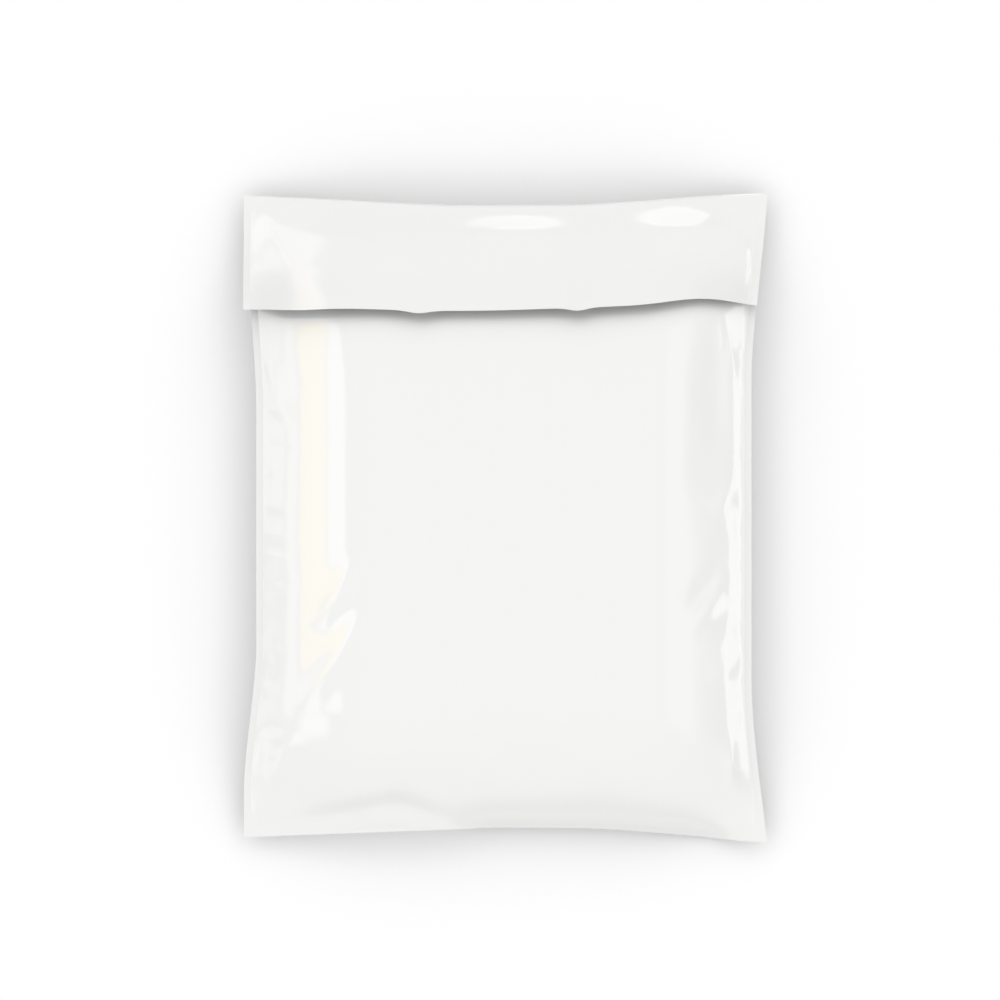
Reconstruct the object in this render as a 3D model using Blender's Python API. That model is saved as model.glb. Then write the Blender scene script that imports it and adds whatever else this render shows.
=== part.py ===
"""Poly mailer bag, filled and sealed, lying on its back.

The bag is one sheet of film. It is folded along the bottom, welded down both sides, filled with
something soft and closed by its flap, which folds over the front and is glued down. The flap's own
edge is past the glue, so it stands free of the front as a lip. What is inside can't be seen, so the
bag is one solid.

The bag is lofted from side to side. Each section is a closed loop in a plane along the bag: up the
back, over the top fold, down the flap, round its free edge, back under it to the glue line, and down
the front to the bottom fold.

Metres. X runs across the bag, +Y to the folded top and +Z up through the front. The origin is below
the middle of the bag, on the surface that it lies on.
"""

import math

import bmesh
import bpy
import numpy as np

OBJECT = "poly_mailer_bag"
PIECE = "mailer_bag"

# The bag as it is sold, laid flat and closed
BAG_WIDTH = 0.254
CLOSED_LENGTH = 0.3128
TOP_SKEW = 0.0009  # how much higher the hand-made top fold runs at the right
BOTTOM_SKEW = 0.0024  # how much lower the bottom fold lies at the right
SEAL_WIDTH = 0.0034
SEAL_THICKNESS = 0.0003
FLAP_LENGTH = 0.0552
GLUE_SETBACK = 0.0210  # from the flap's free edge back to the glue
FILM = 0.00025

# What the filling does to it
FRONT_RISE = 0.0235  # from the side seals up to the level middle of the front
SEAM_HEIGHT = 0.0140  # of the seals above the surface, halfway along each edge
CORNER_HEIGHT = 0.0060
LEFT_SHOULDER = 0.057
RIGHT_SHOULDER = 0.046
TOP_SHOULDER = 0.064
BOTTOM_SHOULDER = 0.060
BACK_SHOULDER = 0.030
FOLD_HEIGHT = 0.0016  # of the springy top fold, at its middle
FOLD_BULGE = 0.0007
LIP_LIFT = 0.0055  # of the flap's free edge off the front
LIP_LIFT_AT_SEALS = 0.0038
SEAM_RAMP = 0.075  # along each edge, from a corner to the full seam height
GROOVE_DEPTH = 0.0022  # of the front under the lip, where the glued flap pulls it in
GROOVE_HALF_WIDTH = 0.0050
GROOVE_SETBACK = 0.0020  # from the lip's edge to the groove's middle, under the flap
LEFT_BEND = 0.0003  # radius of the bend in which the film leaves the flat left seal
BEND = 0.0012  # the same at the other three edges

# Where the bottom fold hangs lower because the film rolls under it, as shares of the width
ROLL_FROM, ROLL_TO, ROLL_EASE = 0.38, 0.97, 0.10
ROLL_DROP = 0.0070
ROLL_REACH = 0.0060  # up the film

# Near the corners the film isn't filled, so the edges flare out to the flat bag's corners. Each
# flare is where the edge starts to draw in, measured from the corner, and over what length.
LEFT_FLARES = {"bottom": (0.018, 0.078), "top": (-0.006, 0.112)}
FLAP_LEFT_FLARES = {"bottom": (0.018, 0.078), "top": (0.040, 0.110)}
RIGHT_FLARES = {"bottom": (-0.030, 0.110), "top": (-0.010, 0.100)}
BOTTOM_FLARES = {"left": (-0.080, 0.220), "right": (-0.012, 0.105)}
TOP_FLARES = {"left": (-0.025, 0.140), "right": (0.000, 0.100)}

# Shallow buckles of the flap's free edge: place across the bag, half width, how far the edge
# moves down the bag and how far it lifts
LIP_BUCKLES = (
    (-0.099, 0.016, 0.0009, 0.0003),
    (-0.040, 0.007, 0.0014, 0.0013),
    (-0.018, 0.060, 0.0022, -0.0012),
    (0.038, 0.006, 0.0015, 0.0014),
    (0.100, 0.024, -0.0036, -0.0008),
)

# Soft hollows and swells of the film over the filling: centre, half sizes across and along, height
SWELLS = (
    ((0.101, 0.060), (0.012, 0.034), -0.0020),
    ((0.094, 0.022), (0.010, 0.014), -0.0008),
    ((0.078, 0.030), (0.012, 0.040), 0.0006),
    ((-0.056, -0.116), (0.026, 0.010), 0.0009),
    ((-0.012, -0.120), (0.016, 0.009), 0.0008),
    ((0.046, -0.122), (0.020, 0.010), 0.0009),
    ((-0.003, -0.112), (0.016, 0.014), -0.0008),
    ((0.036, -0.110), (0.012, 0.012), -0.0007),
    ((0.006, 0.1390), (0.022, 0.0070), 0.0012),
    ((0.092, 0.1400), (0.024, 0.0075), 0.0013),
    ((-0.078, 0.1440), (0.032, 0.0050), -0.0005),
    ((0.096, 0.1180), (0.016, 0.016), -0.0010),
    ((-0.030, 0.1240), (0.030, 0.016), 0.0005),
)

# Fold lines that run in from the seals, where the film has more width than the bag has room:
# start, end, half width and height, which is negative for a valley
CREASES = (
    ((-0.123, 0.092), (-0.107, 0.045), 0.0045, 0.0010),
    ((-0.098, -0.092), (-0.062, -0.039), 0.0055, 0.0017),
    ((-0.090, -0.054), (-0.071, -0.018), 0.0045, 0.0013),
    ((-0.1165, -0.088), (-0.1185, -0.146), 0.0045, -0.0012),
    ((-0.125, -0.136), (-0.100, -0.104), 0.0050, 0.0010),
    ((-0.145, -0.1625), (-0.040, -0.1355), 0.0065, -0.0026),
    ((-0.062, -0.1350), (-0.012, -0.1560), 0.0060, -0.0022),
    ((0.120, 0.100), (0.108, 0.060), 0.0045, 0.0008),
    ((0.118, 0.015), (0.098, 0.004), 0.0045, 0.0008),
    ((0.086, -0.045), (0.104, -0.022), 0.0045, -0.0014),
    ((0.084, -0.058), (0.106, -0.036), 0.0045, 0.0008),
    ((0.118, -0.070), (0.098, -0.078), 0.0045, 0.0009),
    ((0.123, -0.140), (0.104, -0.106), 0.0055, 0.0012),
)
RELIEF_MARGIN = 0.016  # over which the relief dies out towards the edges

# How finely the loft is divided
INNER_COLUMNS = 60
BACK_ROWS = 18
STUCK_ROWS = 8
LIP_ROWS = 3
FRONT_ROWS = 54

FILM_COLOUR = (0.86, 0.87, 0.87, 1.0)
FILM_ROUGHNESS = 0.22
SHARP_FROM = math.radians(70.0)  # the lip's edges are sharp and every bend of the film is smooth


def smooth(t):
    """Ease from 0 to 1, level at both ends."""
    t = np.clip(t, 0.0, 1.0)
    return t * t * (3.0 - 2.0 * t)


def between(a, b, share):
    return a + (b - a) * share


def shoulder(distance, width, bend=BEND):
    """Share of the rise at this distance from an edge.

    The film leaves the edge in a short bend, is steepest just past it and level at the width.
    """
    past_bend = np.sqrt(np.maximum(distance, 0.0) ** 2 + bend**2) - bend
    return 1.0 - (1.0 - np.clip(past_bend / width, 0.0, 1.0)) ** 2


def take_up(width):
    """Film that a shoulder of this width uses up, which draws the bag's edge in."""
    return 2.0 / 3.0 * FRONT_RISE**2 / width


def drawn(distance, flare):
    """Share of an edge's full draw-in at this distance from a corner."""
    start, length = flare
    at_corner = smooth(-start / length)
    return (smooth((distance - start) / length) - at_corner) / (1.0 - at_corner)


def side_edge(v, side, width, flares):
    """X of a side edge at the share v up the bag. side is -1 for the left and 1 for the right."""
    draw = drawn(v * CLOSED_LENGTH, flares["bottom"])
    draw = draw * drawn((1.0 - v) * CLOSED_LENGTH, flares["top"])
    return side * (BAG_WIDTH / 2 - take_up(width) * draw)


def end_edge(u, end, width, skew, flares):
    """Y of the bottom or top fold at the share u across. end is -1 for the bottom and 1 for the top."""
    draw = drawn(u * BAG_WIDTH, flares["left"])
    draw = draw * drawn((1.0 - u) * BAG_WIDTH, flares["right"])
    return end * (CLOSED_LENGTH / 2 + skew * (u - 0.5) - take_up(width) * draw)


def left_edge(v, on_flap):
    return side_edge(v, -1, LEFT_SHOULDER, FLAP_LEFT_FLARES if on_flap else LEFT_FLARES)


def right_edge(v):
    return side_edge(v, 1, RIGHT_SHOULDER, RIGHT_FLARES)


def bottom_edge(u):
    return end_edge(u, -1, BOTTOM_SHOULDER, BOTTOM_SKEW, BOTTOM_FLARES)


def top_edge(u):
    return end_edge(u, 1, TOP_SHOULDER, TOP_SKEW, TOP_FLARES)


def plan(u, v, on_flap=False):
    """X and Y of the film at u across and v up the bag, between its four edges."""
    x = between(left_edge(v, on_flap), right_edge(v), u)
    y = between(bottom_edge(u), top_edge(u), v)
    return x, y


def edge_distances(u, v, x, y, on_flap):
    """How far a point is from the left, right, bottom and top edges."""
    return (
        x - left_edge(v, on_flap),
        right_edge(v) - x,
        y - bottom_edge(u),
        top_edge(u) - y,
    )


def seam_height(u, v):
    """Height of the film's edge: low at the corners, lifted by the filling halfway along.

    Over part of the bottom fold it is lower again, because the film rolls under there.
    """
    across = smooth(u * BAG_WIDTH / SEAM_RAMP) * smooth((1.0 - u) * BAG_WIDTH / SEAM_RAMP)
    along = smooth(v * CLOSED_LENGTH / SEAM_RAMP) * smooth((1.0 - v) * CLOSED_LENGTH / SEAM_RAMP)
    lifted = 1.0 - (1.0 - across) * (1.0 - along)
    rolled = smooth((u - ROLL_FROM) / ROLL_EASE) * smooth((ROLL_TO - u) / ROLL_EASE)
    near_fold = np.exp(-v * CLOSED_LENGTH / ROLL_REACH)
    return between(CORNER_HEIGHT, SEAM_HEIGHT, lifted) - ROLL_DROP * rolled * near_fold


def swell(x, y, centre, half_sizes, height):
    """A soft oval hollow or swell."""
    reach = ((x - centre[0]) / half_sizes[0]) ** 2 + ((y - centre[1]) / half_sizes[1]) ** 2
    return height * np.exp(-reach)


def crease(x, y, start, end, width, height):
    """A rounded fold line that dies out at both ends."""
    run_x, run_y = end[0] - start[0], end[1] - start[1]
    length = math.hypot(run_x, run_y)
    along = ((x - start[0]) * run_x + (y - start[1]) * run_y) / length**2
    across = ((x - start[0]) * run_y - (y - start[1]) * run_x) / length
    return height * np.sin(math.pi * np.clip(along, 0.0, 1.0)) * np.exp(-((across / width) ** 2))


def relief(x, y, inside):
    """The hollows and fold lines, which the flat seals hold down."""
    height = sum(swell(x, y, *one) for one in SWELLS) + sum(crease(x, y, *one) for one in CREASES)
    return height * smooth(inside / RELIEF_MARGIN)


def front_height(u, v, x, y, on_flap=False):
    """Z of the front: from the seals it rises over four shoulders to the level middle."""
    left, right, bottom, top = edge_distances(u, v, x, y, on_flap)
    rise = shoulder(left - SEAL_WIDTH, LEFT_SHOULDER, LEFT_BEND)
    rise = rise * shoulder(right - SEAL_WIDTH, RIGHT_SHOULDER)
    rise = rise * shoulder(bottom, BOTTOM_SHOULDER) * shoulder(top, TOP_SHOULDER)
    inside = np.minimum(np.minimum(left, right) - SEAL_WIDTH, np.minimum(bottom, top))
    return seam_height(u, v) + SEAL_THICKNESS + FRONT_RISE * rise + relief(x, y, inside)


def back_height(u, v, x, y):
    """Z of the back: level on the surface, and lifting to the seals over its own shoulders."""
    left, right, bottom, top = edge_distances(u, v, x, y, False)
    down = shoulder(left - SEAL_WIDTH, BACK_SHOULDER) * shoulder(right - SEAL_WIDTH, BACK_SHOULDER)
    down = down * shoulder(bottom, BACK_SHOULDER) * shoulder(top, BACK_SHOULDER)
    return seam_height(u, v) * (1.0 - down)


def lip_shape(u):
    """Depth of the flap below the top fold in plan, and how far its free edge stands off."""
    across = BAG_WIDTH * (u - 0.5)
    taken_up = CLOSED_LENGTH / 2 + TOP_SKEW * (u - 0.5) - top_edge(u)
    depth = FLAP_LENGTH - taken_up
    lift = between(LIP_LIFT_AT_SEALS, LIP_LIFT, np.sin(math.pi * np.clip(u, 0.0, 1.0)) ** 0.5)
    for place, half_width, down, up in LIP_BUCKLES:
        buckle = np.exp(-(((across - place) / half_width) ** 2))
        depth = depth + down * buckle
        lift = lift + up * buckle
    return depth, lift


def stack(*rows):
    """One block of a section's points, from arrays of x, y and z."""
    return np.stack(np.broadcast_arrays(*rows), axis=-1)


def back_rows(u, v):
    x, y = plan(u, v)
    return stack(x, y, back_height(u, v, x, y))


def groove(u, v, x, y):
    """How far the front is drawn in under the lip. The flat side seals hold it out."""
    left, right, _, _ = edge_distances(u, v, x, y, False)
    depth, _ = lip_shape(u)
    from_middle = y - (top_edge(u) - depth + GROOVE_SETBACK)
    drawn_in = GROOVE_DEPTH * np.exp(-((from_middle / GROOVE_HALF_WIDTH) ** 2))
    return drawn_in * smooth((np.minimum(left, right) - SEAL_WIDTH) / RELIEF_MARGIN)


def front_rows(u, v):
    x, y = plan(u, v)
    return stack(x, y, front_height(u, v, x, y) - groove(u, v, x, y))


def flap_rows(u, share, glued, lowered=0.0):
    """The flap at shares of its depth from the top fold. glued is the share that is stuck down."""
    depth, lift = lip_shape(u)
    v = 1.0 - share * depth / (top_edge(u) - bottom_edge(u))
    x, y = plan(u, v, on_flap=True)
    free = np.clip((share - glued) / (1.0 - glued), 0.0, 1.0)
    fold = FOLD_HEIGHT * np.sin(math.pi * np.clip(u, 0.0, 1.0)) * (1.0 - share) ** 4
    height = front_height(u, v, x, y, on_flap=True) + 2 * FILM + fold + lift * free**1.5
    return stack(x, y, height - lowered)


def fold_ridge(back, flap):
    """The top fold's outermost line, halfway between the back's last row and the flap's first."""
    ridge = (back[:, -1:] + flap[:, :1]) / 2
    ridge[..., 1] += FOLD_BULGE
    return ridge


def column_shares():
    """Where the sections are, as shares of the width: both sides of each seal, then evenly."""
    seal = SEAL_WIDTH / BAG_WIDTH
    return np.concatenate(([0.0], np.linspace(seal, 1.0 - seal, INNER_COLUMNS + 1), [1.0]))


def runs(first, last, count):
    """Even shares from first to last, which may differ from column to column."""
    return between(first, last, np.linspace(0.0, 1.0, count + 1)[None, :])


def section_rows():
    """The rows of points that each section's loop is made of, in order round the loop."""
    u = column_shares()[:, None]
    depth, _ = lip_shape(u)
    glued = 1.0 - GLUE_SETBACK / depth
    glue_line = 1.0 - glued * depth / (top_edge(u) - bottom_edge(u))
    rows = {}
    rows["back"] = back_rows(u, runs(0.0, 1.0, BACK_ROWS))
    rows["stuck"] = flap_rows(u, runs(0.0, glued, STUCK_ROWS), glued)
    rows["ridge"] = fold_ridge(rows["back"], rows["stuck"])
    rows["lip"] = flap_rows(u, runs(glued, 1.0, LIP_ROWS)[:, 1:], glued)
    rows["under_lip"] = flap_rows(u, runs(1.0, glued, LIP_ROWS)[:, :-1], glued, FILM)
    rows["front"] = front_rows(u, runs(glue_line, 0.0, FRONT_ROWS))
    return [(name, rows[name]) for name in ("back", "ridge", "stuck", "lip", "under_lip", "front")]


def zip_up(bm, one, other):
    """Triangles between two rows of points that both run up the bag."""
    i, j = 0, 0
    while i < len(one) - 1 or j < len(other) - 1:
        one_left, other_left = i < len(one) - 1, j < len(other) - 1
        if one_left and not (other_left and other[j + 1].co.y < one[i + 1].co.y):
            bm.faces.new((one[i], one[i + 1], other[j]))
            i += 1
        else:
            bm.faces.new((one[i], other[j + 1], other[j]))
            j += 1


def close_side(bm, row):
    """Close the bag's side edge: the edge of the lip, then all that lies between back and front."""
    zip_up(bm, row["under_lip"] + row["front"][:1], (row["stuck"][-1:] + row["lip"])[::-1])
    zip_up(bm, row["back"] + row["ridge"], row["front"][::-1] + row["stuck"][::-1])


def loft(name, section):
    """A closed mesh through the sections' loops, from one side edge of the bag to the other."""
    points = np.concatenate([rows for _, rows in section], axis=1)
    middle = (points.min(axis=(0, 1)) + points.max(axis=(0, 1))) / 2
    middle[2] = 0.0
    bm = bmesh.new()
    columns = [
        {row: [bm.verts.new(point) for point in rows[column] - middle] for row, rows in section}
        for column in range(len(points))
    ]
    loops = [sum(column.values(), []) for column in columns]
    for near, far in zip(loops, loops[1:]):
        for i in range(len(near)):
            bm.faces.new((near[i], near[i - 1], far[i - 1], far[i]))
    close_side(bm, columns[0])
    close_side(bm, columns[-1])
    bmesh.ops.recalc_face_normals(bm, faces=bm.faces)
    mesh = bpy.data.meshes.new(name)
    bm.to_mesh(mesh)
    bm.free()
    return mesh


def film_material():
    """White polythene film, smooth from the blown-film line and glossy."""
    material = bpy.data.materials.new("white_film")
    material.use_nodes = True
    shader = material.node_tree.nodes["Principled BSDF"]
    shader.inputs["Base Color"].default_value = FILM_COLOUR
    shader.inputs["Roughness"].default_value = FILM_ROUGHNESS
    shader.inputs["Metallic"].default_value = 0.0
    return material


def build():
    """Clear the scene and model the bag in a collection named for it."""
    for old in list(bpy.data.objects):
        bpy.data.objects.remove(old, do_unlink=True)
    collection = bpy.data.collections.new(OBJECT)
    bpy.context.scene.collection.children.link(collection)
    mesh = loft(PIECE, section_rows())
    mesh.materials.append(film_material())
    mesh.shade_smooth()
    mesh.set_sharp_from_angle(angle=SHARP_FROM)
    bag = bpy.data.objects.new(PIECE, mesh)
    collection.objects.link(bag)


build()
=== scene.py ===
"""Poly mailer bag: the look of the filled film bag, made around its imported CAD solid.

The bag is one sheet of white polythene film, folded along the bottom, welded down both sides and
closed by its glued flap. Here it is lofted again as in the CAD, far more finely, and gets the creases
and puckers that the film has where it is drawn in to its seals.
"""

import math

import bmesh
import bpy
import numpy as np
from bpy.props import FloatProperty, IntProperty, PointerProperty, StringProperty
from mathutils import Matrix, Vector


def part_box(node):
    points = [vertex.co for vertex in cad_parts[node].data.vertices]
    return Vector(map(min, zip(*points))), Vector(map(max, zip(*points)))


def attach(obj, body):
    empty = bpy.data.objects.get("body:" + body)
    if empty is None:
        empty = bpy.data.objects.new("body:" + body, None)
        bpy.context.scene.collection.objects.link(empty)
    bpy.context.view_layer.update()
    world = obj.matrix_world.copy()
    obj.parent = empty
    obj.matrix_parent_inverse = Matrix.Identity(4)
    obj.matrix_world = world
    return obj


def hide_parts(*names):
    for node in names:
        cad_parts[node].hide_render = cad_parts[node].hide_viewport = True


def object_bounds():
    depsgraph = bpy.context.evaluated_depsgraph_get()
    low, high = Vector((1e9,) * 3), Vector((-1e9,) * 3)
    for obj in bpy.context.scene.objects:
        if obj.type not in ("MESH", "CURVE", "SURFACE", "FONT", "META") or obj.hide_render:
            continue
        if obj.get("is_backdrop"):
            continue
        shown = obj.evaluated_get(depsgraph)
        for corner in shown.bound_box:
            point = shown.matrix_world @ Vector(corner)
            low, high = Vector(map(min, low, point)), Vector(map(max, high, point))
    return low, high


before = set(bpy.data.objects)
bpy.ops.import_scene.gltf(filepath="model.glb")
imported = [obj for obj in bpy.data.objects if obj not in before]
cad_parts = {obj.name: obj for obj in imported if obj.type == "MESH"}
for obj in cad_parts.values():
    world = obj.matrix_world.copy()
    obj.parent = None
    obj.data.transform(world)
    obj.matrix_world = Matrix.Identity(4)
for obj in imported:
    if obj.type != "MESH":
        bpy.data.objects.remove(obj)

bl_info = {
    "name": "Poly Mailer Bag",
    "version": (1, 0, 0),
    "blender": (4, 5, 0),
    "location": "View3D > Sidebar > Mailer",
    "description": "A filled and sealed white film mailing bag, with the studio it lies in",
    "category": "Add Mesh",
}

CAD_BAG = "mailer_bag"
BODY = "root"
CAD_LOW, CAD_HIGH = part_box(CAD_BAG)
CAD_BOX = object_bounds()
MM = 0.001

# Each flare is where an edge starts to draw in, measured from the corner, and over what length
LEFT_FLARES = {"bottom": (0.018, 0.078), "top": (-0.006, 0.112)}
FLAP_LEFT_FLARES = {"bottom": (0.018, 0.078), "top": (0.040, 0.110)}
RIGHT_FLARES = {"bottom": (-0.030, 0.110), "top": (-0.010, 0.100)}
BOTTOM_FLARES = {"left": (-0.080, 0.220), "right": (-0.012, 0.105)}
TOP_FLARES = {"left": (-0.025, 0.140), "right": (0.000, 0.100)}

# Buckles of the flap's free edge: place across, half width, shift down the bag, lift off the front
LIP_BUCKLES = (
    (-0.099, 0.016, 0.0009, 0.0003),
    (-0.040, 0.007, 0.0014, 0.0013),
    (-0.018, 0.060, 0.0022, -0.0012),
    (0.038, 0.006, 0.0015, 0.0014),
    (0.100, 0.024, -0.0036, -0.0008),
)

# Soft hollows and swells over the filling: centre, half sizes, height
SWELLS = (
    ((0.101, 0.060), (0.012, 0.034), -0.0020),
    ((0.094, 0.022), (0.010, 0.014), -0.0008),
    ((0.078, 0.030), (0.012, 0.040), 0.0006),
    ((-0.056, -0.116), (0.026, 0.010), 0.0009),
    ((-0.012, -0.120), (0.016, 0.009), 0.0008),
    ((0.046, -0.122), (0.020, 0.010), 0.0009),
    ((-0.003, -0.112), (0.016, 0.014), -0.0008),
    ((0.036, -0.110), (0.012, 0.012), -0.0007),
    ((0.006, 0.1390), (0.022, 0.0070), 0.0012),
    ((0.092, 0.1400), (0.024, 0.0075), 0.0013),
    ((-0.078, 0.1440), (0.032, 0.0050), -0.0005),
    ((0.096, 0.1180), (0.016, 0.016), -0.0010),
    ((-0.030, 0.1240), (0.030, 0.016), 0.0005),
)

# Broad fold lines that run in from the seals: start, end, half width, height.
# The first, across the flap's left corner, is fine work that the CAD solid doesn't hold.
CREASES = (
    ((-0.134, 0.170), (-0.072, 0.078), 0.0100, 0.0013),
    ((-0.123, 0.092), (-0.107, 0.045), 0.0045, 0.0010),
    ((-0.098, -0.092), (-0.062, -0.039), 0.0055, 0.0017),
    ((-0.090, -0.054), (-0.071, -0.018), 0.0045, 0.0013),
    ((-0.1165, -0.088), (-0.1185, -0.146), 0.0045, -0.0012),
    ((-0.125, -0.136), (-0.100, -0.104), 0.0050, 0.0010),
    ((-0.145, -0.1625), (-0.040, -0.1355), 0.0065, -0.0026),
    ((-0.062, -0.1350), (-0.012, -0.1560), 0.0060, -0.0022),
    ((0.120, 0.100), (0.108, 0.060), 0.0045, 0.0008),
    ((0.118, 0.015), (0.098, 0.004), 0.0045, 0.0008),
    ((0.086, -0.045), (0.104, -0.022), 0.0045, -0.0014),
    ((0.084, -0.058), (0.106, -0.036), 0.0045, 0.0008),
    ((0.118, -0.070), (0.098, -0.078), 0.0045, 0.0009),
    ((0.123, -0.140), (0.104, -0.106), 0.0055, 0.0012),
)

# Fine kinks in the film, narrower than the CAD solid holds: start, end, half width, height
KINKS = (
    ((-0.1205, 0.090), (-0.1075, 0.047), 0.0016, 0.00035),
    ((-0.1190, -0.028), (-0.1150, -0.065), 0.0012, 0.00030),
    ((-0.1150, -0.065), (-0.1205, -0.088), 0.0012, 0.00030),
    ((-0.1130, -0.049), (-0.1120, -0.071), 0.0015, -0.00035),
    ((0.1150, 0.1370), (0.1185, 0.1120), 0.0018, 0.00060),
    ((0.1032, 0.1010), (0.1052, 0.0760), 0.0016, 0.00050),
    ((0.1050, 0.1000), (0.1114, 0.0650), 0.0016, 0.00060),
    ((0.1100, -0.1040), (0.1085, -0.1360), 0.0026, 0.00080),
    ((0.1145, -0.1030), (0.1230, -0.1440), 0.0022, 0.00070),
)
CREST_ROUND = 0.4  # how round a kink's crest is, as a share of its half width

# Small puckers along the side seals. They fall between these shares of the bag's length from its
# middle, start this far inside the corners' width and reach this far out over the seal. The pairs
# are the least and the most that the seed may give.
PUCKERS_FROM, PUCKERS_TO = -0.44, 0.30
PUCKER_INSET, PUCKER_OVERLAP = 0.0085, 0.003
PUCKER_SPACING = (0.007, 0.019)
PUCKER_REACH = (0.008, 0.024)
PUCKER_LEAN = (-0.006, 0.006)
PUCKER_HEIGHT = (0.00010, 0.00030)
PUCKER_HALF_WIDTH = (0.0014, 0.0030)

# Tuck along the right seal: from its crest inwards the film is less steep.
# Place up the bag, crest's inset from the edge, drop behind it
RIGHT_TUCK = (
    (-0.156, 0.0100, 0.0000),
    (-0.125, 0.0130, 0.0004),
    (-0.106, 0.0130, 0.0010),
    (-0.076, 0.0130, 0.0012),
    (-0.064, 0.0180, 0.0012),
    (-0.054, 0.0120, 0.0012),
    (-0.040, 0.0105, 0.0012),
    (-0.010, 0.0105, 0.0012),
    (0.004, 0.0145, 0.0012),
    (0.014, 0.0105, 0.0012),
    (0.025, 0.0078, 0.0010),
    (0.083, 0.0130, 0.0006),
    (0.100, 0.0150, 0.0000),
)

# Behind its crest the tuck reaches its full drop over the first length and gives it back over the
# second. The crest is rounded by the bend.
TUCK_REACH, TUCK_RECOVERY = 0.006, 0.030
TUCK_BEND = 0.0008

FINE_MARGIN = 0.004  # width over which the kinks and puckers die out towards the edges

# Where the bottom fold rolls under, as shares of the width, and how far up the film that reaches
ROLL_FROM, ROLL_TO, ROLL_EASE = 0.38, 0.97, 0.10
ROLL_REACH = 0.0060

LIP_CURL = 1.5  # how the free lip leaves the front: 1 is straight, more is a curl
FOLD_FADE = 4  # how fast the springy top fold dies out down the flap

# Rows of points up the bag and columns across it. The bends at the seals' inner edges have columns
# of their own, this far either side of the edge, as a share of the width.
FLAT_ROWS, LIP_ROWS, FRONT_ROWS = 44, 12, 270
LEFT_COLUMNS, MIDDLE_COLUMNS, RIGHT_COLUMNS, BEND_COLUMNS = 72, 72, 62, 3
SEAL_EDGE = 0.0015

# Film edges that turn by more than this, such as the lip's and the seals', are shaded as sharp
SHARP_DEGREES = 12.0

# The film's skin: how far its roughness swings with the die lines, how much rougher the inner ply
# is, the bumps as strength and depth, and how much slower the die lines change along the bag
ROUGHNESS_SWING = (-0.03, 0.04)
INNER_ROUGHER = 0.2
PEEL_BUMP = (0.25, 0.00003)
LINE_BUMP = (0.08, 0.00005)
LINE_STRETCH = 0.02
FILM_IOR = 1.51

FLOOR_SIZE = 6.0
WATTS_PER_RADIANCE = 4.0  # of an area lamp, for each square metre

# The light tent's brightness by height in it, from the horizon at 0 to overhead at 1
TENT_WALLS = ((0.0, 0.35), (0.20, 0.90), (0.35, 1.60), (0.60, 1.60), (0.80, 0.60), (1.0, 0.50))

# Black flags, which take the tent out of the film's gloss: on the right, at the bottom, at the top
# and low all round. Each has the axis that it stands across, the shares of it over which the tent
# fades out, and what is left of the tent there.
BLACK_FLAGS = (
    ("X", 0.70, 0.94, 0.30),
    ("Y", -0.86, -1.0, 0.0),
    ("Y", 0.92, 0.97, 0.20),
    ("Z", 0.88, 0.60, 0.55),
    ("Z", 0.46, 0.26, 0.40),
)

# Planes that the cards hang in: side of the bag as X and Y, degrees off vertical and distance
LEFT_PLANE = ((-1, 0), 51.5, 1.3)
RIGHT_PLANE = ((1, 0), 80.0, 1.4)
TOP_PLANE = ((0, 1), 74.0, 1.4)

# Bright cards: name, plane, start and end along it and up it, radiance, colour, and over what
# length the card fades out towards its ends and towards its long edges
GLOSS_CARDS = (
    ("warm_core", LEFT_PLANE, (-0.23, 0.44), (-0.34, 0.27), 1.7, "#FFDA40", (0.08, 0.10)),
    ("pale_edge", LEFT_PLANE, (-0.27, 0.50), (-0.48, -0.24), 1.1, "#FFFDF4", (0.10, 0.09)),
    ("pale_margin", LEFT_PLANE, (-0.24, 0.50), (0.15, 0.51), 1.5, "#FFFDF4", (0.10, 0.05)),
    ("pale_low", LEFT_PLANE, (-0.30, -0.02), (-0.95, -0.42), 0.9, "#FFFFFF", (0.10, 0.20)),
    ("left_fill", LEFT_PLANE, (-1.00, 1.00), (-1.50, -0.32), 1.1, "#FFFFFF", (0.40, 0.20)),
    ("pale_above", LEFT_PLANE, (0.34, 2.00), (-0.54, 0.24), 1.2, "#FFFFFF", (0.18, 0.08)),
    ("warm_above", LEFT_PLANE, (0.90, 2.10), (-0.54, 0.10), 0.7, "#FFE048", (0.14, 0.10)),
    ("pale_below", LEFT_PLANE, (-0.58, -0.12), (-0.26, 0.30), 1.3, "#FFFAF2", (0.16, 0.12)),
    ("right_strip", RIGHT_PLANE, (-0.42, 0.56), (-0.23, 0.06), 1.9, "#FFFFFF", (0.06, 0.02)),
    ("right_glow", RIGHT_PLANE, (-0.80, 0.55), (0.45, 2.00), 0.5, "#FFFFFF", (0.40, 0.30)),
    ("top_strip", TOP_PLANE, (-0.08, 0.62), (-0.31, 0.10), 1.9, "#FFFFFF", (0.03, 0.02)),
)

# The photograph's frame at the height of the bag's seals: its width and its middle, in metres
VIEW_WIDTH = 0.4838
VIEW_CENTRE = (-0.00266, 0.0087)


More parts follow.
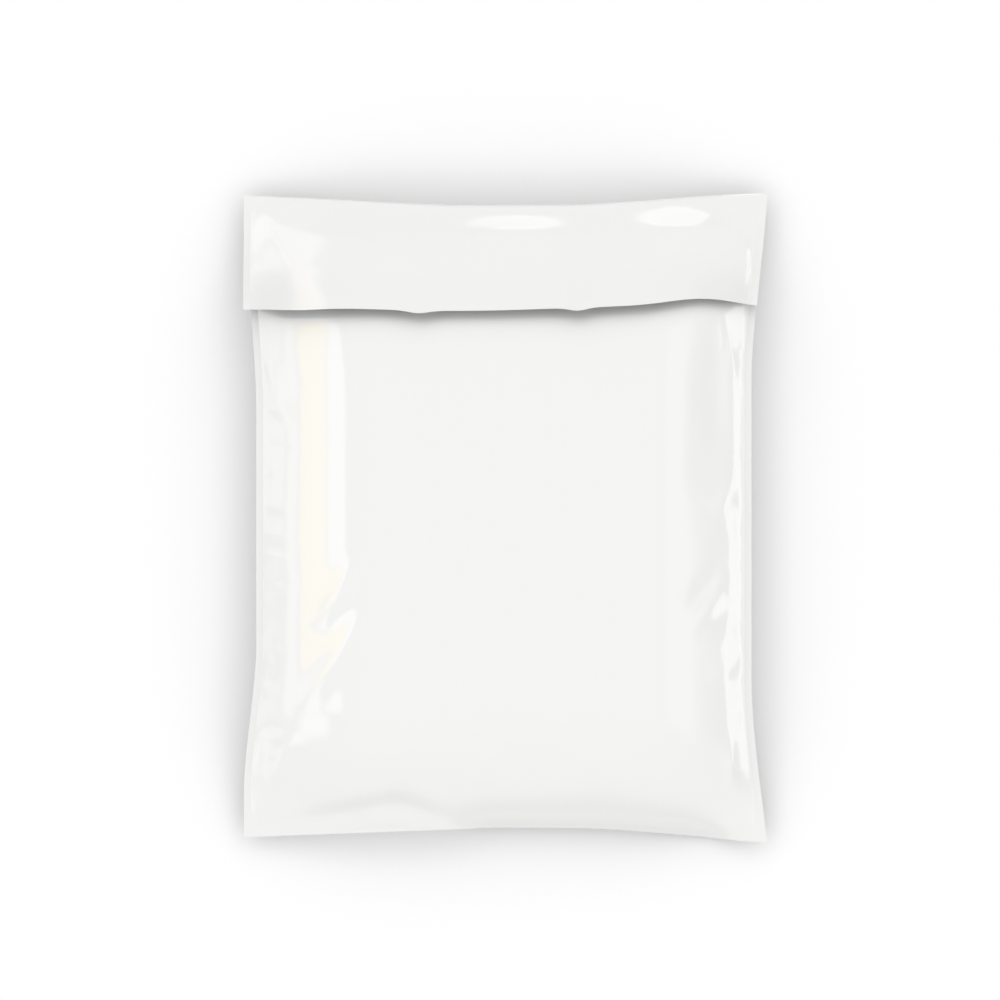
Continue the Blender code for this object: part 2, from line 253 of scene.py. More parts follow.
class MailerFormSettings(bpy.types.PropertyGroup):
    """Sizes of the filled bag"""

    bag_width: FloatProperty(
        name="Bag width",
        description="Width of the bag laid flat, over the side seals",
        default=0.254,
        min=0.1,
        unit="LENGTH",
    )
    closed_length: FloatProperty(
        name="Closed length",
        description="Length from the bottom fold to the top fold, at the side seals",
        default=0.3128,
        min=0.1,
        unit="LENGTH",
    )
    top_skew: FloatProperty(
        name="Top skew",
        description="How much higher the hand-made top fold runs at the right",
        default=0.0009,
        unit="LENGTH",
    )
    bottom_skew: FloatProperty(
        name="Bottom skew",
        description="How much lower the bottom fold lies at the right",
        default=0.0024,
        unit="LENGTH",
    )
    seal_width: FloatProperty(
        name="Seal width",
        description="Width of the flat weld down each side",
        default=0.0034,
        min=0.001,
        unit="LENGTH",
    )
    seal_thickness: FloatProperty(
        name="Seal thickness",
        description="Thickness of the two welded films",
        default=0.0003,
        min=0.0001,
        unit="LENGTH",
    )
    film: FloatProperty(
        name="Film thickness",
        description="Thickness of the flap's film at its free lip",
        default=0.00025,
        min=0.00005,
        unit="LENGTH",
    )
    flap_length: FloatProperty(
        name="Flap length",
        description="Film from the top fold to the flap's free edge",
        default=0.0552,
        min=0.02,
        unit="LENGTH",
    )
    glue_setback: FloatProperty(
        name="Glue setback",
        description="From the flap's free edge back to the glue",
        default=0.021,
        min=0.002,
        unit="LENGTH",
    )
    front_rise: FloatProperty(
        name="Front rise",
        description="Height of the filled front above its seals",
        default=0.0235,
        min=0.0,
        unit="LENGTH",
    )
    seam_height: FloatProperty(
        name="Seam height",
        description="Height of the seals above the surface, halfway along each edge",
        default=0.014,
        min=0.0,
        unit="LENGTH",
    )
    corner_height: FloatProperty(
        name="Corner height",
        description="Height of the four corners above the surface",
        default=0.006,
        min=0.0,
        unit="LENGTH",
    )
    seam_ramp: FloatProperty(
        name="Seam ramp",
        description="Along each edge, from a corner to the full seam height",
        default=0.075,
        min=0.01,
        unit="LENGTH",
    )
    left_shoulder: FloatProperty(
        name="Left shoulder",
        description="Width over which the front rises from the left seal",
        default=0.057,
        min=0.01,
        unit="LENGTH",
    )
    right_shoulder: FloatProperty(
        name="Right shoulder",
        description="Width over which the front rises from the right seal",
        default=0.046,
        min=0.01,
        unit="LENGTH",
    )
    top_shoulder: FloatProperty(
        name="Top shoulder",
        description="Width over which the front rises from the top fold",
        default=0.064,
        min=0.01,
        unit="LENGTH",
    )
    bottom_shoulder: FloatProperty(
        name="Bottom shoulder",
        description="Width over which the front rises from the bottom fold",
        default=0.060,
        min=0.01,
        unit="LENGTH",
    )
    back_shoulder: FloatProperty(
        name="Back shoulder",
        description="Width over which the back lifts off the surface to the seals",
        default=0.030,
        min=0.01,
        unit="LENGTH",
    )
    left_bend: FloatProperty(
        name="Left bend",
        description="Radius of the bend in which the film leaves the flat left seal",
        default=0.00001,
        min=0.0,
        unit="LENGTH",
    )
    bend: FloatProperty(
        name="Bend",
        description="The same at the other three edges",
        default=0.0012,
        min=0.0001,
        unit="LENGTH",
    )
    roll_under: FloatProperty(
        name="Roll under",
        description="How much lower the bottom fold hangs where the film rolls under",
        default=0.007,
        unit="LENGTH",
    )
    fold_height: FloatProperty(
        name="Fold height",
        description="Height of the springy top fold at its middle",
        default=0.0016,
        unit="LENGTH",
    )
    fold_bulge: FloatProperty(
        name="Fold bulge",
        description="How far the round of the top fold stands out",
        default=0.0007,
        unit="LENGTH",
    )
    lip_lift: FloatProperty(
        name="Lip lift",
        description="How far the flap's free edge stands off the front",
        default=0.0055,
        unit="LENGTH",
    )
    lip_lift_at_seals: FloatProperty(
        name="Lip lift at seals",
        description="The same at the bag's sides",
        default=0.0038,
        unit="LENGTH",
    )
    groove_depth: FloatProperty(
        name="Groove depth",
        description="How far the front is drawn in under the lip",
        default=0.0022,
        unit="LENGTH",
    )
    groove_half_width: FloatProperty(
        name="Groove half width",
        description="Half width of the groove under the lip",
        default=0.005,
        min=0.001,
        unit="LENGTH",
    )
    groove_setback: FloatProperty(
        name="Groove setback",
        description="From the lip's edge to the groove's middle, under the flap",
        default=0.002,
        unit="LENGTH",
    )
    relief_margin: FloatProperty(
        name="Relief margin",
        description="Width over which the creases die out towards the edges",
        default=0.016,
        unit="LENGTH",
    )
    seed: IntProperty(
        name="Seed",
        description="Number that sets where the small puckers fall",
        default=7,
    )


class MailerFinishSettings(bpy.types.PropertyGroup):
    """Finish of the film"""

    film_hex: StringProperty(
        name="Film colour",
        description="Colour of the white film, as sRGB hex",
        default="#F6F6F5",
    )
    streak_hex: StringProperty(
        name="Streak colour",
        description="Colour of the film where its die lines run a little thin",
        default="#F5F5F4",
    )
    # Dark grey of the inner ply: partly the film's real inner face, partly painted shade that deepens
    # the shadow under the flap's lip
    inner_ply_shade_hex: StringProperty(
        name="Inner ply colour",
        description="Colour of the film's inner face, as sRGB hex",
        default="#2E3032",
    )
    gloss: FloatProperty(
        name="Roughness",
        description="Typical roughness of the film's glossy skin",
        default=0.085,
        min=0.0,
        max=1.0,
    )
    die_line_mm: FloatProperty(
        name="Die line spacing",
        description="Spacing of the faint lines along the film, in millimetres",
        default=2.4,
        min=0.1,
    )
    skin_mm: FloatProperty(
        name="Skin grain",
        description="Size of the film's faint orange peel, in millimetres",
        default=1.3,
        min=0.1,
    )


class MailerStageSettings(bpy.types.PropertyGroup):
    """The studio"""

    floor_hex: StringProperty(
        name="Floor colour",
        description="Colour of the floor, as sRGB hex",
        default="#FFFFFF",
    )
    floor_bounce_hex: StringProperty(
        name="Floor bounce",
        description="Colour with which the floor lights the bag from below, as sRGB hex",
        default="#B8B8B8",
    )
    dome_strength: FloatProperty(
        name="Dome",
        description="Strength of the even light from all round",
        default=1.0,
        min=0.0,
    )
    camera_distance: FloatProperty(
        name="Camera distance",
        description="Height of the camera above the bag",
        default=2.0,
        min=0.5,
        unit="LENGTH",
    )


def smooth(t):
    """Ease from 0 to 1, level at both ends."""
    t = np.clip(t, 0.0, 1.0)
    return t * t * (3.0 - 2.0 * t)


def between(a, b, share):
    return a + (b - a) * share


def shoulder(distance, width, bend):
    """Share of the rise at this distance from an edge.

    The film leaves the edge in a short bend, is steepest just past it and level at the width.
    """
    past_bend = np.sqrt(np.maximum(distance, 0.0) ** 2 + bend**2) - bend
    return 1.0 - (1.0 - np.clip(past_bend / width, 0.0, 1.0)) ** 2


def drawn(distance, flare):
    """Share of an edge's full draw-in at this distance from a corner."""
    start, length = flare
    at_corner = smooth(-start / length)
    return (smooth((distance - start) / length) - at_corner) / (1.0 - at_corner)


def swell(x, y, centre, half_sizes, height):
    """A soft oval hollow or swell."""
    reach = ((x - centre[0]) / half_sizes[0]) ** 2 + ((y - centre[1]) / half_sizes[1]) ** 2
    return height * np.exp(-reach)


def fold_line(x, y, start, end):
    """Share along a fold line and the distance across it."""
    run_x, run_y = end[0] - start[0], end[1] - start[1]
    length = math.hypot(run_x, run_y)
    along = ((x - start[0]) * run_x + (y - start[1]) * run_y) / length**2
    across = ((x - start[0]) * run_y - (y - start[1]) * run_x) / length
    return np.clip(along, 0.0, 1.0), across


def crease(x, y, start, end, width, height):
    """A rounded fold line that dies out at both ends."""
    along, across = fold_line(x, y, start, end)
    return height * np.sin(math.pi * along) * np.exp(-((across / width) ** 2))


def kink(x, y, start, end, width, height):
    """A fold line with a tight crest, as film takes where it has buckled."""
    along, across = fold_line(x, y, start, end)
    crest = np.exp(CREST_ROUND - np.hypot(across / width, CREST_ROUND))
    return height * np.sin(math.pi * along) * crest


def stack(*rows):
    """One block of a section's points, from arrays of x, y and z."""
    return np.stack(np.broadcast_arrays(*rows), axis=-1)


def runs(first, last, count):
    """Even shares from first to last, which may differ from column to column."""
    return between(first, last, np.linspace(0.0, 1.0, count + 1)[None, :])


class FilledBag:
    """The film's form: plan and height at any share u across and v up the bag."""

    def __init__(self, sizes):
        self.sizes = sizes
        self.puckers = self.scatter_puckers(sizes.seed)

    def scatter_puckers(self, seed):
        """Short kinks square to the side seals, where the film is gathered along them."""
        random = np.random.default_rng(seed)
        s = self.sizes
        puckers = []
        for side in (-1, 1):
            y = s.closed_length * PUCKERS_FROM
            while y < s.closed_length * PUCKERS_TO:
                y += random.uniform(*PUCKER_SPACING)
                reach = random.uniform(*PUCKER_REACH)
                lean = random.uniform(*PUCKER_LEAN)
                x = side * (s.bag_width / 2 - PUCKER_INSET)
                height = random.choice((-1, 1)) * random.uniform(*PUCKER_HEIGHT)
                start = (x + side * PUCKER_OVERLAP, y)
                end = (x - side * reach, y + lean)
                puckers.append((start, end, random.uniform(*PUCKER_HALF_WIDTH), height))
        return puckers

    def take_up(self, width):
        """Film that a shoulder of this width uses up, which draws the bag's edge in.

        It is what a shallow parabola of this rise is longer than its width.
        """
        return 2.0 / 3.0 * self.sizes.front_rise**2 / width

    def side_edge(self, v, side, width, flares):
        s = self.sizes
        draw = drawn(v * s.closed_length, flares["bottom"])
        draw = draw * drawn((1.0 - v) * s.closed_length, flares["top"])
        return side * (s.bag_width / 2 - self.take_up(width) * draw)

    def end_edge(self, u, end, width, skew, flares):
        s = self.sizes
        draw = drawn(u * s.bag_width, flares["left"])
        draw = draw * drawn((1.0 - u) * s.bag_width, flares["right"])
        return end * (s.closed_length / 2 + skew * (u - 0.5) - self.take_up(width) * draw)

    def left_edge(self, v, on_flap):
        flares = FLAP_LEFT_FLARES if on_flap else LEFT_FLARES
        return self.side_edge(v, -1, self.sizes.left_shoulder, flares)

    def right_edge(self, v):
        return self.side_edge(v, 1, self.sizes.right_shoulder, RIGHT_FLARES)

    def bottom_edge(self, u):
        s = self.sizes
        return self.end_edge(u, -1, s.bottom_shoulder, s.bottom_skew, BOTTOM_FLARES)

    def top_edge(self, u):
        s = self.sizes
        return self.end_edge(u, 1, s.top_shoulder, s.top_skew, TOP_FLARES)

    def plan(self, u, v, on_flap=False):
        x = between(self.left_edge(v, on_flap), self.right_edge(v), u)
        y = between(self.bottom_edge(u), self.top_edge(u), v)
        return x, y

    def edge_distances(self, u, v, x, y, on_flap):
        return (
            x - self.left_edge(v, on_flap),
            self.right_edge(v) - x,
            y - self.bottom_edge(u),
            self.top_edge(u) - y,
        )

    def seam_height(self, u, v):
        """Height of the film's edge: low at the corners, lifted by the filling halfway along."""
        s = self.sizes
        across = smooth(u * s.bag_width / s.seam_ramp)
        across = across * smooth((1.0 - u) * s.bag_width / s.seam_ramp)
        along = smooth(v * s.closed_length / s.seam_ramp)
        along = along * smooth((1.0 - v) * s.closed_length / s.seam_ramp)
        height = between(s.corner_height, s.seam_height, 1.0 - (1.0 - across) * (1.0 - along))
        rolled = smooth((u - ROLL_FROM) / ROLL_EASE) * smooth((ROLL_TO - u) / ROLL_EASE)
        return height - s.roll_under * rolled * np.exp(-v * s.closed_length / ROLL_REACH)

    def tuck(self, y, right):
        """How far the tuck along the right seal lowers the film, behind its crest."""
        places, insets, drops = np.array(RIGHT_TUCK).T
        behind = right - np.interp(y, places, insets)
        behind = (behind + np.sqrt(behind**2 + TUCK_BEND**2)) / 2
        lowered = np.exp(-behind / TUCK_RECOVERY) - np.exp(-behind / TUCK_REACH)
        return np.interp(y, places, drops) * lowered

    def relief(self, x, y, right, inside):
        """Hollows, fold lines and kinks, which the flat seals hold down."""
        s = self.sizes
        broad = sum(swell(x, y, *one) for one in SWELLS)
        broad = broad + sum(crease(x, y, *one) for one in CREASES)
        fine = sum(kink(x, y, *one) for one in KINKS + tuple(self.puckers))
        fine = fine - self.tuck(y, right)
        return broad * smooth(inside / s.relief_margin) + fine * smooth(inside / FINE_MARGIN)

    def front_height(self, u, v, x, y, on_flap=False):
        s = self.sizes
        left, right, bottom, top = self.edge_distances(u, v, x, y, on_flap)
        rise = shoulder(left - s.seal_width, s.left_shoulder, s.left_bend)
        rise = rise * shoulder(right - s.seal_width, s.right_shoulder, s.bend)
        rise = rise * shoulder(bottom, s.bottom_shoulder, s.bend)
        rise = rise * shoulder(top, s.top_shoulder, s.bend)
        inside = np.minimum(np.minimum(left, right) - s.seal_width, np.minimum(bottom, top))
        base = self.seam_height(u, v) + s.seal_thickness
        return base + s.front_rise * rise + self.relief(x, y, right, inside)

    def back_height(self, u, v, x, y):
        s = self.sizes
        left, right, bottom, top = self.edge_distances(u, v, x, y, False)
        down = shoulder(left - s.seal_width, s.back_shoulder, s.bend)
        down = down * shoulder(right - s.seal_width, s.back_shoulder, s.bend)
        down = down * shoulder(bottom, s.back_shoulder, s.bend)
        down = down * shoulder(top, s.back_shoulder, s.bend)
        return self.seam_height(u, v) * (1.0 - down)

    def lip_shape(self, u):
        """Depth of the flap below the top fold in plan, and how far its free edge stands off."""
        s = self.sizes
        across = s.bag_width * (u - 0.5)
        taken_up = s.closed_length / 2 + s.top_skew * (u - 0.5) - self.top_edge(u)
        depth = s.flap_length - taken_up
        arch = np.sqrt(np.sin(math.pi * np.clip(u, 0.0, 1.0)))
        lift = between(s.lip_lift_at_seals, s.lip_lift, arch)
        for place, half_width, down, up in LIP_BUCKLES:
            buckle = np.exp(-(((across - place) / half_width) ** 2))
            depth = depth + down * buckle
            lift = lift + up * buckle
        return depth, lift

    def back_rows(self, u, v):
        x, y = self.plan(u, v)
        return stack(x, y, self.back_height(u, v, x, y))

    def groove(self, u, v, x, y):
        """How far the front is drawn in under the lip. The flat side seals hold it out."""
        s = self.sizes
        left, right, _, _ = self.edge_distances(u, v, x, y, False)
        depth, _ = self.lip_shape(u)
        from_middle = y - (self.top_edge(u) - depth + s.groove_setback)
        drawn_in = s.groove_depth * np.exp(-((from_middle / s.groove_half_width) ** 2))
        return drawn_in * smooth((np.minimum(left, right) - s.seal_width) / s.relief_margin)

    def front_rows(self, u, v):
        x, y = self.plan(u, v)
        return stack(x, y, self.front_height(u, v, x, y) - self.groove(u, v, x, y))

    def flap_rows(self, u, share, glued, lowered=0.0):
        """Rows down the flap at these shares of its depth. It lies on the front as far as glued."""
        s = self.sizes
        depth, lift = self.lip_shape(u)
        v = 1.0 - share * depth / (self.top_edge(u) - self.bottom_edge(u))
        x, y = self.plan(u, v, on_flap=True)
        free = np.clip((share - glued) / (1.0 - glued), 0.0, 1.0)
        fold = s.fold_height * np.sin(math.pi * np.clip(u, 0.0, 1.0)) * (1.0 - share) ** FOLD_FADE
        height = self.front_height(u, v, x, y, on_flap=True) + 2 * s.film + fold
        return stack(x, y, height + lift * free**LIP_CURL - lowered)

    def column_shares(self):
        """Places of the sections: close together over the shoulders, wider over the level middle."""
        s = self.sizes
        seal = s.seal_width / s.bag_width
        left = seal + s.left_shoulder / s.bag_width
        right = 1.0 - seal - s.right_shoulder / s.bag_width
        return np.concatenate(
            (
                [0.0, seal - SEAL_EDGE],
                np.linspace(seal, seal + SEAL_EDGE, BEND_COLUMNS, endpoint=False),
                np.linspace(seal + SEAL_EDGE, left, LEFT_COLUMNS, endpoint=False),
                np.linspace(left, right, MIDDLE_COLUMNS, endpoint=False),
                np.linspace(right, 1.0 - seal - SEAL_EDGE, RIGHT_COLUMNS, endpoint=False),
                np.linspace(1.0 - seal - SEAL_EDGE, 1.0 - seal, BEND_COLUMNS),
                [1.0 - seal + SEAL_EDGE, 1.0],
            )
        )

    def section_rows(self):
        """The rows of points that each section's loop is made of, in order round the loop."""
        s = self.sizes
        u = self.column_shares()[:, None]
        depth, _ = self.lip_shape(u)
        glued = 1.0 - s.glue_setback / depth
        glue_line = 1.0 - glued * depth / (self.top_edge(u) - self.bottom_edge(u))
        rows = {}
        rows["back"] = self.back_rows(u, runs(0.0, 1.0, FLAT_ROWS))
        rows["stuck"] = self.flap_rows(u, runs(0.0, glued, FLAT_ROWS), glued)
        ridge = (rows["back"][:, -1:] + rows["stuck"][:, :1]) / 2
        ridge[..., 1] += s.fold_bulge
        rows["ridge"] = ridge
        lip, under_lip = runs(glued, 1.0, LIP_ROWS)[:, 1:], runs(1.0, glued, LIP_ROWS)[:, :-1]
        rows["lip"] = self.flap_rows(u, lip, glued)
        rows["under_lip"] = self.flap_rows(u, under_lip, glued, s.film)
        rows["front"] = self.front_rows(u, runs(glue_line, 0.0, FRONT_ROWS))
        order = ("back", "ridge", "stuck", "lip", "under_lip", "front")
        return [(name, rows[name]) for name in order]


def zip_up(bm, one, other):
    """Triangles between two rows of points that both run up the bag."""
    i, j = 0, 0
    while i < len(one) - 1 or j < len(other) - 1:
        one_left, other_left = i < len(one) - 1, j < len(other) - 1
        if one_left and not (other_left and other[j + 1].co.y < one[i + 1].co.y):
            bm.faces.new((one[i], one[i + 1], other[j]))
            i += 1
        else:
            bm.faces.new((one[i], other[j + 1], other[j]))
            j += 1


def close_side(bm, row):
    """Close the bag's side edge: the edge of the lip, then all that lies between back and front."""
    zip_up(bm, row["under_lip"] + row["front"][:1], (row["stuck"][-1:] + row["lip"])[::-1])
    zip_up(bm, row["back"] + row["ridge"], row["front"][::-1] + row["stuck"][::-1])


def loft(name, section, low, high):
    """A closed mesh through the sections' loops, with its middle where the CAD solid's is.

    The underside of the flap's lip is the film's inner face and takes the second material, a dark
    grey that is partly painted shade.
    """
    points = np.concatenate([rows for _, rows in section], axis=1)
    middle = (points.min(axis=(0, 1)) + points.max(axis=(0, 1))) / 2
    cad_middle = (np.array(low) + np.array(high)) / 2
    shift = np.array((cad_middle[0] - middle[0], cad_middle[1] - middle[1], low.z))
    bm = bmesh.new()
    row_names = [row for row, rows in section for _ in range(rows.shape[1])]
    columns = [
        {row: [bm.verts.new(point) for point in rows[column] + shift] for row, rows in section}
        for column in range(len(points))
    ]
    loops = [sum(column.values(), []) for column in columns]
    for near, far in zip(loops, loops[1:]):
        for i in range(len(near)):
            face = bm.faces.new((near[i], near[i - 1], far[i - 1], far[i]))
            # The lip's underside takes the dark inner ply, partly painted shade under the lip
            face.material_index = int(row_names[i - 1] == "under_lip")
    close_side(bm, columns[0])
    close_side(bm, columns[-1])
    bmesh.ops.recalc_face_normals(bm, faces=bm.faces)
    mesh = bpy.data.meshes.new(name)
    bm.to_mesh(mesh)
    bm.free()
    return mesh


def linear(hex_colour):
    """An sRGB hex colour as the linear RGBA that Blender's sockets take."""
    values = [int(hex_colour[i : i + 2], 16) / 255 for i in (1, 3, 5)]
    rgb = [v / 12.92 if v <= 0.04045 else ((v + 0.055) / 1.055) ** 2.4 for v in values]
    return (*rgb, 1.0)


def add_node(tree, kind, settings=None, links=None):
    """A node with its settings (an attribute or a socket by name or number) and incoming links."""
    node = tree.nodes.new(kind)
    for key, value in (settings or {}).items():
        if isinstance(key, str) and hasattr(node, key):
            setattr(node, key, value)
        else:
            node.inputs[key].default_value = value
    for key, source in (links or {}).items():
        tree.links.new(source, node.inputs[key])
    return node


def new_material(name):
    """An empty node material and its output node."""
    material = bpy.data.materials.new(name)
    material.use_nodes = True
    material.node_tree.nodes.clear()
    return material, material.node_tree.nodes.new("ShaderNodeOutputMaterial")


def blown_ldpe_film(finish):
    """White low-density polythene film, blown as a tube and wound flat.

    The eye gets an opaque white with a glossy skin, faint lines along the bag from the die, and a
    very shallow orange peel that breaks up long reflections.
    """
    material, output = new_material("white_ldpe_blown_film")
    tree = material.node_tree
    place = add_node(tree, "ShaderNodeTexCoord").outputs["Object"]
    lines_per_metre = 1.0 / (finish.die_line_mm * MM)
    along = add_node(
        tree,
        "ShaderNodeMapping",
        {"Scale": (lines_per_metre, lines_per_metre * LINE_STRETCH, 1.0)},
        {"Vector": place},
    )
    die = add_node(
        tree,
        "ShaderNodeTexNoise",
        {"Scale": 1.0, "Detail": 3.0, "Roughness": 0.6},
        {"Vector": along.outputs["Vector"]},
    ).outputs["Fac"]
    skin = add_node(
        tree,
        "ShaderNodeTexNoise",
        {"Scale": 1.0 / (finish.skin_mm * MM), "Detail": 2.0, "Roughness": 0.5},
        {"Vector": place},
    ).outputs["Fac"]
    colour = add_node(
        tree,
        "ShaderNodeMix",
        {"data_type": "RGBA", "A": linear(finish.film_hex), "B": linear(finish.streak_hex)},
        {"Factor": die},
    )
    rough = add_node(
        tree,
        "ShaderNodeMapRange",
        {
            "To Min": finish.gloss + ROUGHNESS_SWING[0],
            "To Max": finish.gloss + ROUGHNESS_SWING[1],
        },
        {"Value": die},
    )
    peel = add_node(
        tree,
        "ShaderNodeBump",
        {"Strength": PEEL_BUMP[0], "Distance": PEEL_BUMP[1]},
        {"Height": skin},
    )
    lines = add_node(
        tree,
        "ShaderNodeBump",
        {"Strength": LINE_BUMP[0], "Distance": LINE_BUMP[1]},
        {"Height": die, "Normal": peel.outputs["Normal"]},
    )
    shader = add_node(
        tree,
        "ShaderNodeBsdfPrincipled",
        {"IOR": FILM_IOR},
        {
            "Base Color": colour.outputs["Result"],
            "Roughness": rough.outputs["Result"],
            "Normal": lines.outputs["Normal"],
        },
    )
    tree.links.new(shader.outputs["BSDF"], output.inputs["Surface"])
    return material


def inner_ply_and_shade(finish):
    """The grey inner ply of the co-extruded film, which makes the bag opaque.

    It is given only to the underside of the flap's free lip, where its dark grey is partly painted
    shade that keeps the shadow deep.
    """
    material, output = new_material("grey_inner_ply_and_painted_shade")
    shader = add_node(
        material.node_tree,
        "ShaderNodeBsdfPrincipled",
        {
            "Base Color": linear(finish.inner_ply_shade_hex),
            "Roughness": finish.gloss + INNER_ROUGHER,
            "IOR": FILM_IOR,
        },
    )
    material.node_tree.links.new(shader.outputs["BSDF"], output.inputs["Surface"])
    return material


def painted_floor(stage):
    """Matt white studio floor. It lights the bag from below a little less than it is seen."""
    material, output = new_material("matt_white_studio_floor")
    tree = material.node_tree
    path = add_node(tree, "ShaderNodeLightPath").outputs
    plain = add_node(tree, "ShaderNodeBsdfDiffuse", {"Color": linear(stage.floor_bounce_hex)})
    white = add_node(tree, "ShaderNodeBsdfDiffuse", {"Color": linear(stage.floor_hex)})
    mixed = add_node(
        tree,
        "ShaderNodeMixShader",
        links={0: path["Is Camera Ray"], 1: plain.outputs["BSDF"], 2: white.outputs["BSDF"]},
    )
    tree.links.new(mixed.outputs["Shader"], output.inputs["Surface"])
    return material


def light_tent(stage):
    """White tent round the bag, brightest halfway up its walls, and plain white where it is seen.

    Its flags darken it for gloss alone, so they take nothing from the light on the bag.
    """
    world = bpy.data.worlds.new("studio_light_tent")
    world.use_nodes = True
    tree = world.node_tree
    tree.nodes.clear()
    way = add_node(tree, "ShaderNodeTexCoord").outputs["Generated"]
    axes = add_node(tree, "ShaderNodeSeparateXYZ", links={"Vector": way}).outputs
    ramp = add_node(tree, "ShaderNodeValToRGB", links={"Fac": axes["Z"]})
    stops = ramp.color_ramp.elements
    while len(stops) < len(TENT_WALLS):
        stops.new(0.5)
    for stop, (place, level) in zip(stops, TENT_WALLS):
        stop.position = place
        stop.color = (level, level, level, 1.0)
    remains = None
    for axis, start, end, share in BLACK_FLAGS:
        flag = add_node(
            tree,
            "ShaderNodeMapRange",
            {"From Min": start, "From Max": end, "To Min": 1.0, "To Max": share},
            {"Value": axes[axis]},
        ).outputs["Result"]
        if remains is None:
            remains = flag
        else:
            remains = add_node(
                tree, "ShaderNodeMath", {"operation": "MINIMUM"}, {0: remains, 1: flag}
            ).outputs["Value"]
    path = add_node(tree, "ShaderNodeLightPath").outputs
    strength = add_node(
        tree,
        "ShaderNodeMapRange",
        {"To Min": stage.dome_strength},
        {"Value": path["Is Glossy Ray"], "To Max": remains},
    )
    tent = add_node(
        tree,
        "ShaderNodeBackground",
        links={"Color": ramp.outputs["Color"], "Strength": strength.outputs["Result"]},
    )
    plain = add_node(tree, "ShaderNodeBackground", {"Color": (1.0, 1.0, 1.0, 1.0), "Strength": 1.0})
    mixed = add_node(
        tree,
        "ShaderNodeMixShader",
        links={
            0: path["Is Camera Ray"],
            1: tent.outputs["Background"],
            2: plain.outputs["Background"],
        },
    )
    add_node(tree, "ShaderNodeOutputWorld", links={"Surface": mixed.outputs["Shader"]})
    return world


def feather(tree, place, size, fade):
    """Share of a card's light at each place on it, fading over these lengths to its edges.

    place runs from 0 to 1 along both sides of the card.
    """
    shares = []
    for axis in (0, 1):
        inwards = add_node(
            tree, "ShaderNodeMath", {"operation": "PINGPONG", 1: 0.5}, {0: place.outputs[axis]}
        )
        share = add_node(
            tree,
            "ShaderNodeMapRange",
            {"interpolation_type": "SMOOTHSTEP", "From Max": fade[axis] / size[axis]},
            {"Value": inwards.outputs["Value"]},
        )
        shares.append(share.outputs["Result"])
    return add_node(tree, "ShaderNodeMath", {"operation": "MULTIPLY"}, {0: shares[0], 1: shares[1]})


def gloss_card(name, plane, along, up, radiance, hex_colour, fade):
    """A bright card that only the film's gloss shows.

    Its plane faces the bag. along and up are where the card starts and ends in that plane, from
    the plane's middle.
    """
    side, off_vertical, distance = plane
    tilt = math.radians(off_vertical)
    facing = Vector((side[0] * math.sin(tilt), side[1] * math.sin(tilt), math.cos(tilt)))
    level = Vector((abs(side[1]), abs(side[0]), 0.0))
    rise = Vector((-side[0] * math.cos(tilt), -side[1] * math.cos(tilt), math.sin(tilt)))
    size = (along[1] - along[0], up[1] - up[0])
    data = bpy.data.lights.new(name, "AREA")
    data.shape = "RECTANGLE"
    data.size, data.size_y = size
    data.energy = WATTS_PER_RADIANCE * radiance * size[0] * size[1]
    data.color = linear(hex_colour)[:3]
    data.use_nodes = True
    tree = data.node_tree
    on_card = add_node(tree, "ShaderNodeNewGeometry").outputs["Parametric"]
    place = add_node(tree, "ShaderNodeSeparateXYZ", links={"Vector": on_card})
    share = feather(tree, place, size, fade)
    tree.links.new(share.outputs["Value"], tree.nodes["Emission"].inputs["Strength"])
    lamp = bpy.data.objects.new(name, data)
    middle = facing * distance + level * sum(along) / 2 + rise * sum(up) / 2
    turn = Matrix((level, facing.cross(level), facing)).transposed()
    lamp.matrix_world = Matrix.Translation(middle) @ turn.to_4x4()
    lamp.visible_diffuse = False
    bpy.context.scene.collection.objects.link(lamp)


class MAILER_OT_bag(bpy.types.Operator):
    """Make the filled film bag around its CAD solid"""

    bl_idname = "mailer.bag"
    bl_label = "Mailer Bag"

    def execute(self, context):
        settings = context.scene.mailer_form
        mesh = loft("film_bag", FilledBag(settings).section_rows(), CAD_LOW, CAD_HIGH)
        mesh.materials.append(blown_ldpe_film(context.scene.mailer_finish))
        # Dark inner ply for the lip's underside, partly painted shade
        mesh.materials.append(inner_ply_and_shade(context.scene.mailer_finish))
        mesh.shade_smooth()
        mesh.set_sharp_from_angle(angle=math.radians(SHARP_DEGREES))
        bag = bpy.data.objects.new("film_bag", mesh)
        context.scene.collection.objects.link(bag)
        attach(bag, BODY)
        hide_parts(CAD_BAG)
        return {"FINISHED"}


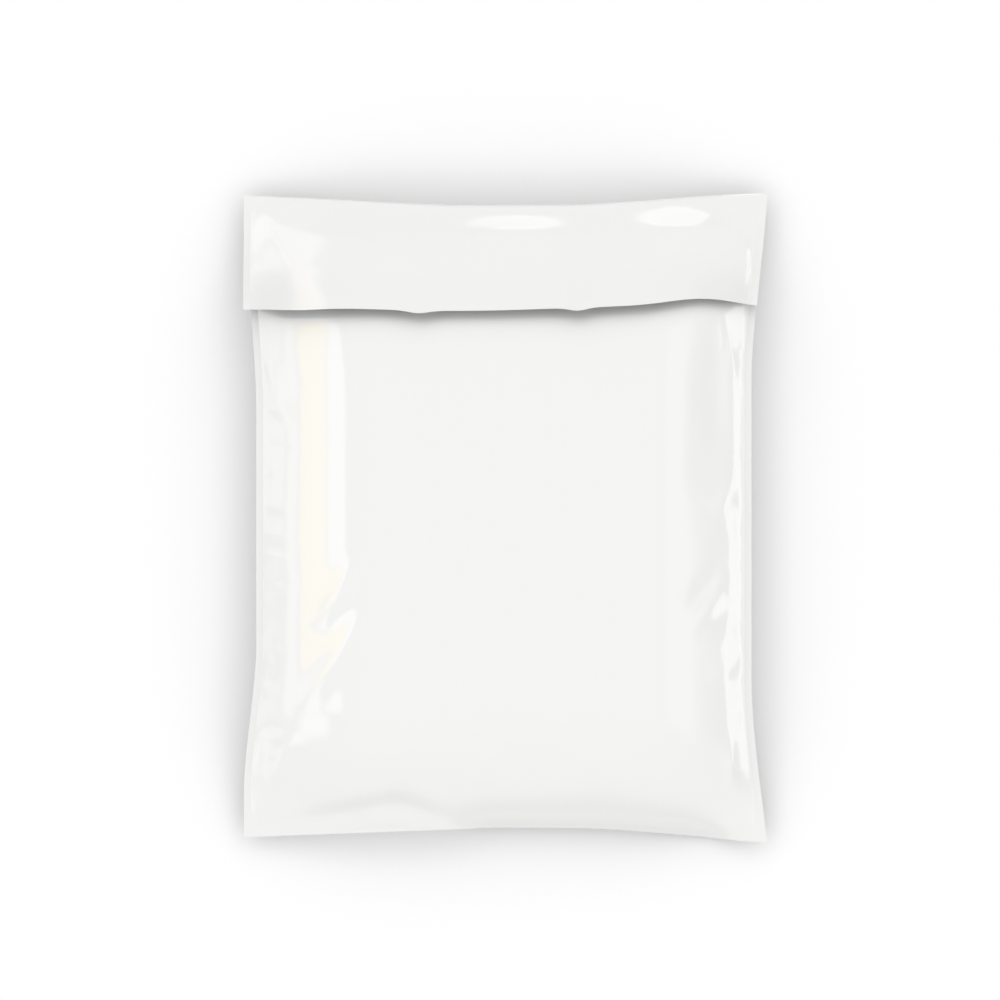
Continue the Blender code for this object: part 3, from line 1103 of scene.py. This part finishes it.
class MAILER_OT_stage(bpy.types.Operator):
    """Make the floor, the studio light and the camera over the bag"""

    bl_idname = "mailer.stage"
    bl_label = "Mailer Stage"

    def execute(self, context):
        scene = context.scene
        stage = scene.mailer_stage
        bpy.ops.mesh.primitive_plane_add(size=FLOOR_SIZE, location=(0, 0, CAD_LOW.z))
        floor = context.object
        floor.name = "studio_floor"
        floor.data.materials.append(painted_floor(stage))
        floor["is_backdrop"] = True

        scene.world = light_tent(stage)

        for card in GLOSS_CARDS:
            gloss_card(*card)

        data = bpy.data.cameras.new("photo_camera")
        data.lens = data.sensor_width * stage.camera_distance / VIEW_WIDTH
        camera = bpy.data.objects.new("photo_camera", data)
        height = stage.camera_distance + scene.mailer_form.seam_height
        camera.location = (VIEW_CENTRE[0], VIEW_CENTRE[1], height)
        scene.collection.objects.link(camera)
        scene.camera = camera
        scene.view_settings.view_transform = "Standard"
        return {"FINISHED"}


class MAILER_PT_panel(bpy.types.Panel):
    """Sizes, finish and studio of the mailer bag"""

    bl_label = "Mailer"
    bl_idname = "MAILER_PT_panel"
    bl_space_type = "VIEW_3D"
    bl_region_type = "UI"
    bl_category = "Mailer"

    def draw(self, context):
        scene = context.scene
        for settings in (scene.mailer_form, scene.mailer_finish, scene.mailer_stage):
            box = self.layout.box()
            for name in type(settings).__annotations__:
                box.prop(settings, name)
        self.layout.operator(MAILER_OT_bag.bl_idname)
        self.layout.operator(MAILER_OT_stage.bl_idname)


CLASSES = (
    MailerFormSettings,
    MailerFinishSettings,
    MailerStageSettings,
    MAILER_OT_bag,
    MAILER_OT_stage,
    MAILER_PT_panel,
)


def register():
    for one in CLASSES:
        bpy.utils.register_class(one)
    bpy.types.Scene.mailer_form = PointerProperty(type=MailerFormSettings)
    bpy.types.Scene.mailer_finish = PointerProperty(type=MailerFinishSettings)
    bpy.types.Scene.mailer_stage = PointerProperty(type=MailerStageSettings)


def unregister():
    del bpy.types.Scene.mailer_stage
    del bpy.types.Scene.mailer_finish
    del bpy.types.Scene.mailer_form
    for one in reversed(CLASSES):
        bpy.utils.unregister_class(one)


def write_sizes():
    """Put the CAD box and the finished bag's box side by side, in a dictionary that is not used
    further.
    """
    boxes = {"cad": CAD_BOX, "visual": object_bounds()}
    plain = {name: [list(corner) for corner in box] for name, box in boxes.items()}


def main():
    register()
    bpy.ops.mailer.bag()
    bpy.ops.mailer.stage()
    write_sizes()


if __name__ == "__main__":
    main()
